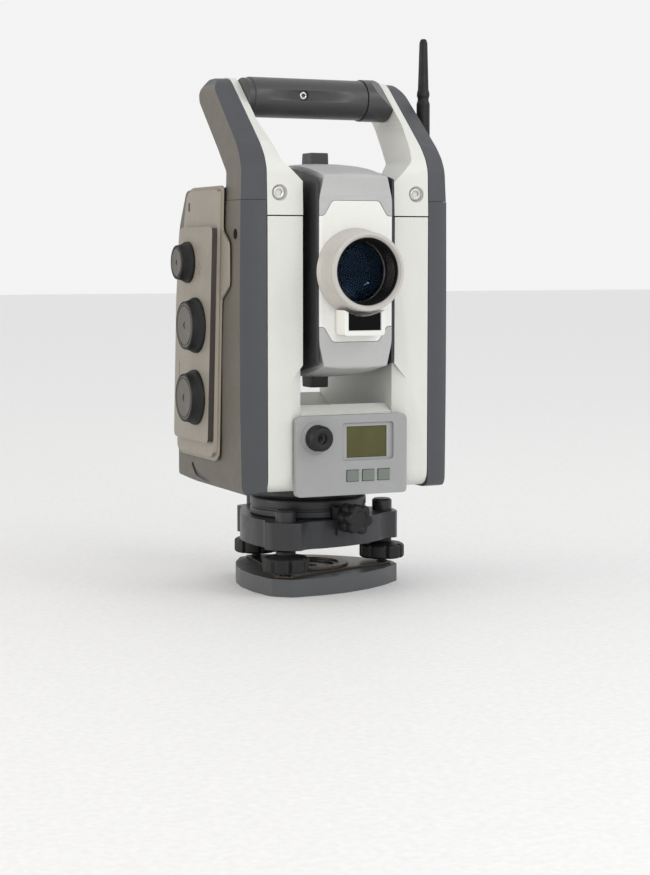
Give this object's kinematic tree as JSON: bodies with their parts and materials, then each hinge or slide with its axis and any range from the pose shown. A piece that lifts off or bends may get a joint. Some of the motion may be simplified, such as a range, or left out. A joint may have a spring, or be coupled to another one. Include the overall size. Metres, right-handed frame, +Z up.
{
  "type": "surveying total station",
  "caption": "Surveying total station on a levelling base: a turning forked frame carries a tilting telescope, side knobs, a small display with keys, a grip handle and an antenna.",
  "frame": {"origin": "on the instrument's vertical axis, at the mouth of the tripod screw's thread in the underside of the base plate", "axes": "+Z up along the vertical axis, -Y the way the objective looks at rest (the front), +X towards the battery side with the antenna"},
  "size_m": [0.2198, 0.2193, 0.458],
  "materials": {
    "housing_light": "satin off-white paint with a fine grain",
    "cover_grey": "matte mid grey, lightly textured",
    "side_unit": "matte warm grey, lightly textured",
    "bumper": "matte slate grey",
    "handle_grip": "satin charcoal",
    "dark_metal": "satin dark grey paint",
    "black_knob": "matte black",
    "base_plate": "satin grey paint",
    "spring_plate": "dull bronze sheet",
    "steel": "turned",
    "lens": "coated, polished",
    "window": "dark, polished",
    "clear_glass": "polished",
    "lcd": "olive display behind a clear pane",
    "key_cap": "matte grey-green",
    "circuit_board": "green solder mask",
    "battery_case": "matte black"
  },
  "bodies": {
    "base": {"tribrach_base_plate": "base_plate", "foot_spring_plate": "spring_plate"},
    "foot_screw_rear": {"foot_screw_rear": "black_knob"},
    "tribrach": {"tribrach_head": "dark_metal", "circular_level_housing": "steel", "circular_level_vial": "clear_glass", "instrument_foot": "dark_metal", "vertical_spindle": "steel", "horizontal_circle": "clear_glass"},
    "foot_screw_right": {"foot_screw_right": "black_knob"},
    "foot_screw_front": {"foot_screw_front": "black_knob"},
    "lock_knob": {"lock_knob": "black_knob"},
    "alidade": {"yoke_bridge": "housing_light", "yoke_column_left": "housing_light", "yoke_column_right": "housing_light", "azimuth_bearing": "steel", "alidade_base_ring": "dark_metal", "left_bumper": "bumper", "right_bumper": "bumper", "knob_unit_cover": "side_unit", "knob_panel": "side_unit", "knob_encoder_board": "circuit_board", "battery_unit_cover": "side_unit", "battery_pack": "battery_case", "antenna": "black_knob", "grip": "handle_grip", "grip_end_block": "handle_grip", "handle_arm_left": "housing_light", "handle_arm_right": "housing_light", "handle_cover_left": "bumper", "handle_cover_right": "bumper", "display_panel": "cover_grey", "display_screen": "lcd", "trunnion_bearing_left": "steel", "trunnion_bearing_right": "steel", "control_dock": "dark_metal"},
    "telescope": {"telescope_body": "dark_metal", "telescope_upper_cap": "cover_grey", "telescope_lower_cap": "cover_grey", "telescope_front_plate": "housing_light", "objective_barrel": "housing_light", "objective_lens": "lens", "sensor_frame": "housing_light", "sensor_window": "window", "top_sight": "dark_metal", "bottom_sight": "dark_metal", "eyepiece_lens": "lens", "trunnion_shaft_left": "steel", "trunnion_shaft_right": "steel", "vertical_circle": "clear_glass"},
    "eyepiece_focus_ring": {"eyepiece_focus_ring": "black_knob"},
    "focus_knob": {"focus_knob": "black_knob"},
    "vertical_knob": {"vertical_knob": "black_knob"},
    "horizontal_knob": {"horizontal_knob": "black_knob"},
    "display_key_1": {"display_key_1": "key_cap"},
    "display_key_2": {"display_key_2": "key_cap"},
    "display_key_3": {"display_key_3": "key_cap"},
    "plummet_focus_ring": {"plummet_focus_ring": "black_knob"},
    "battery_door": {"battery_door": "side_unit"},
    "battery_latch": {"battery_latch": "handle_grip"}
  },
  "joints": [
    {"name": "level_tilt", "type": "hinge", "parent": "base", "child": "tribrach", "pos_m": [0.01112, -0.03054, 0.0134], "axis": [0.9397, 0.342, 0], "range_deg": [-2, 2]},
    {"name": "foot_screw_rear_turn", "type": "hinge", "parent": "base", "child": "foot_screw_rear", "pos_m": [-0.02223, 0.06108, 0.026], "axis": [0, 0, 1], "range_deg": [-1230, 1230]},
    {"name": "foot_screw_right_turn", "type": "hinge", "parent": "tribrach", "child": "foot_screw_right", "pos_m": [0.06401, -0.01129, 0.026], "axis": [0, 0, 1], "range_deg": [-1080, 1080]},
    {"name": "foot_screw_front_turn", "type": "hinge", "parent": "tribrach", "child": "foot_screw_front", "pos_m": [-0.04178, -0.04979, 0.026], "axis": [0, 0, 1], "range_deg": [-1080, 1080]},
    {"name": "lock_knob_turn", "type": "hinge", "parent": "tribrach", "child": "lock_knob", "pos_m": [0, 0, 0.0625], "axis": [0.1478, -0.989, 0], "range_deg": [0, 180]},
    {"name": "alidade_turn", "type": "hinge", "parent": "tribrach", "child": "alidade", "pos_m": [0, 0, 0.08], "axis": [0, 0, 1], "continuous": true},
    {"name": "telescope_tilt", "type": "hinge", "parent": "alidade", "child": "telescope", "pos_m": [0, 0, 0.264], "axis": [1, 0, 0], "continuous": true},
    {"name": "eyepiece_focus_turn", "type": "hinge", "parent": "telescope", "child": "eyepiece_focus_ring", "pos_m": [0, 0.09, 0.264], "axis": [0, 1, 0], "range_deg": [-150, 150]},
    {"name": "focus_knob_turn", "type": "hinge", "parent": "alidade", "child": "focus_knob", "pos_m": [-0.107, 0.0127, 0.271], "axis": [-1, 0, 0], "continuous": true},
    {"name": "vertical_knob_turn", "type": "hinge", "parent": "alidade", "child": "vertical_knob", "pos_m": [-0.107, -0.0051, 0.2199], "axis": [-1, 0, 0], "continuous": true},
    {"name": "horizontal_knob_turn", "type": "hinge", "parent": "alidade", "child": "horizontal_knob", "pos_m": [-0.107, -0.0023, 0.1608], "axis": [-1, 0, 0], "continuous": true},
    {"name": "key_1_press", "type": "slide", "parent": "alidade", "child": "display_key_1", "axis": [0, 1, 0], "range_m": [0, 0.0009], "stiffness_N_per_m": 1500},
    {"name": "key_2_press", "type": "slide", "parent": "alidade", "child": "display_key_2", "axis": [0, 1, 0], "range_m": [0, 0.0009], "stiffness_N_per_m": 1500},
    {"name": "key_3_press", "type": "slide", "parent": "alidade", "child": "display_key_3", "axis": [0, 1, 0], "range_m": [0, 0.0009], "stiffness_N_per_m": 1500},
    {"name": "plummet_focus_turn", "type": "hinge", "parent": "alidade", "child": "plummet_focus_ring", "pos_m": [-0.0315, -0.095, 0.132], "axis": [0, 1, 0], "range_deg": [-150, 150]},
    {"name": "battery_door_swing", "type": "hinge", "parent": "alidade", "child": "battery_door", "pos_m": [0.1044, 0.005, 0.1308], "axis": [0, 1, 0], "range_deg": [0, 95]},
    {"name": "battery_latch_slide", "type": "slide", "parent": "battery_door", "child": "battery_latch", "axis": [0, 0, -1], "range_m": [0, 0.003], "stiffness_N_per_m": 400, "springref_m": -0.002}
  ],
  "couplings": [
    {"joint": "foot_screw_rear_turn", "follows": "level_tilt", "ratio": -612.6}
  ]
}
